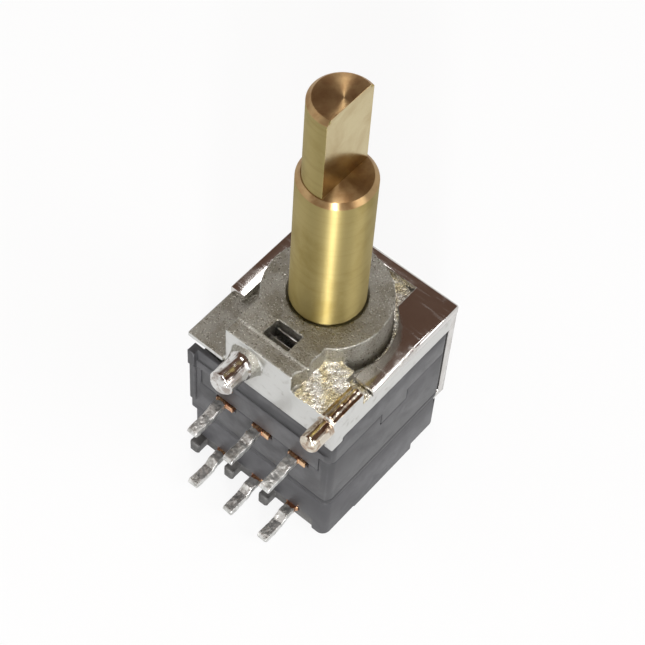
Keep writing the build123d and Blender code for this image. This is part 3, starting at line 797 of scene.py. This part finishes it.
# ------------------------------------------------------------------ floor, light and camera
def floor_material():
    """Pale paper that shows as white, and keeps a faint shadow."""
    material = bpy.data.materials.new("pale_floor")
    material.use_nodes = True
    tree = material.node_tree
    tree.nodes.clear()
    paper = put(tree, "BsdfDiffuse", Color=(0.82, 0.82, 0.82, 1))
    glow = put(tree, "Emission", Color=(1, 1, 1, 1), Strength=1.0)
    path = put(tree, "LightPath")
    seen = arithmetic(tree, "MAXIMUM", path.outputs["Is Camera Ray"], path.outputs["Is Glossy Ray"])
    seen = arithmetic(tree, "MAXIMUM", seen, path.outputs["Is Transmission Ray"])
    mix = put(tree, "MixShader")
    join(tree, arithmetic(tree, "MULTIPLY", seen, 0.86), mix.inputs[0])
    join(tree, paper.outputs[0], mix.inputs[1])
    join(tree, glow.outputs[0], mix.inputs[2])
    out = put(tree, "OutputMaterial")
    join(tree, mix.outputs[0], out.inputs["Surface"])
    return material


def floor():
    shape = bmesh.new()
    bmesh.ops.create_grid(shape, x_segments=8, y_segments=8, size=2.0)
    mesh = bpy.data.meshes.new("floor")
    shape.to_mesh(mesh)
    shape.free()
    sheet = bpy.data.objects.new("floor", mesh)
    bpy.context.scene.collection.objects.link(sheet)
    sheet.location.z = cad_low.z - 0.00002
    mesh.materials.append(floor_material())


def toward(azimuth, elevation):
    """Unit vector from the switch; azimuth 0 is -Y and 90 is +X."""
    a, e = math.radians(azimuth), math.radians(elevation)
    return Vector((math.sin(a) * math.cos(e), -math.cos(a) * math.cos(e), math.sin(e)))


def softbox(name, azimuth, elevation, distance, width, height, power, colour=(1, 1, 1)):
    lamp = bpy.data.lights.new(name, "AREA")
    lamp.shape, lamp.size, lamp.size_y = "RECTANGLE", width, height
    lamp.energy, lamp.color = power, colour
    holder = bpy.data.objects.new(name, lamp)
    bpy.context.scene.collection.objects.link(holder)
    centre = (cad_low + cad_high) / 2
    way = toward(azimuth, elevation)
    holder.location = centre + way * distance
    holder.rotation_mode = "QUATERNION"
    holder.rotation_quaternion = (-way).to_track_quat("-Z", "Y")


def room():
    """A pale room with a brown ceiling."""
    world = bpy.data.worlds.new("room")
    bpy.context.scene.world = world
    world.use_nodes = True
    tree = world.node_tree
    tree.nodes.clear()
    place = put(tree, "TexCoord")
    parts = put(tree, "SeparateXYZ")
    join(tree, place.outputs["Generated"], parts.inputs[0])
    mix = put(tree, "Mix", {"data_type": "RGBA"})
    mix.inputs[6].default_value = (0.95, 0.95, 0.95, 1)
    mix.inputs[7].default_value = (0.135, 0.078, 0.055, 1)
    join(tree, spread(tree, parts.outputs[2], 0.38, 0.66), mix.inputs[0])
    back = put(tree, "Background", Strength=1.0)
    join(tree, mix.outputs[2], back.inputs["Color"])
    out = put(tree, "OutputWorld")
    join(tree, back.outputs[0], out.inputs["Surface"])


def camera():
    """Looks down from the front right, slightly turned about its own axis."""
    azimuth, elevation, roll, distance = 36.338, 55.997, math.radians(4.604), 98.753
    offset_x, offset_y, lens = 0.2666, 1.5187, 109.13
    back = toward(azimuth, elevation)
    level = Vector((math.cos(math.radians(azimuth)), math.sin(math.radians(azimuth)), 0))
    upward = back.cross(level)
    right = math.cos(roll) * level + math.sin(roll) * upward
    above = math.cos(roll) * upward - math.sin(roll) * level
    data = bpy.data.cameras.new("camera")
    data.lens, data.sensor_width = lens, 36.0
    data.clip_start, data.clip_end = 0.002, 10.0
    holder = bpy.data.objects.new("camera", data)
    bpy.context.scene.collection.objects.link(holder)
    aim = Vector((0, 0, mounts["boss_face"]["pos_m"][2] * 1000))
    place = aim + distance * back - offset_x * right - offset_y * above
    turn = Matrix((right, above, back)).transposed()
    holder.matrix_world = Matrix.Translation(place * MM) @ turn.to_4x4()
    bpy.context.scene.camera = holder


floor()
room()
softbox("key", 34, 48, 0.34, 0.05, 0.30, 0.55)
softbox("ceiling_lamp", 214, 78, 0.40, 0.10, 0.10, 0.25)
softbox("low_front", 38, 14, 0.34, 0.03, 0.09, 0.75)
softbox("side", 100, 35, 0.36, 0.16, 0.22, 0.35)
softbox("fill", -50, 40, 0.40, 0.22, 0.22, 0.12)
camera()
bpy.context.scene.view_settings.view_transform = "Standard"
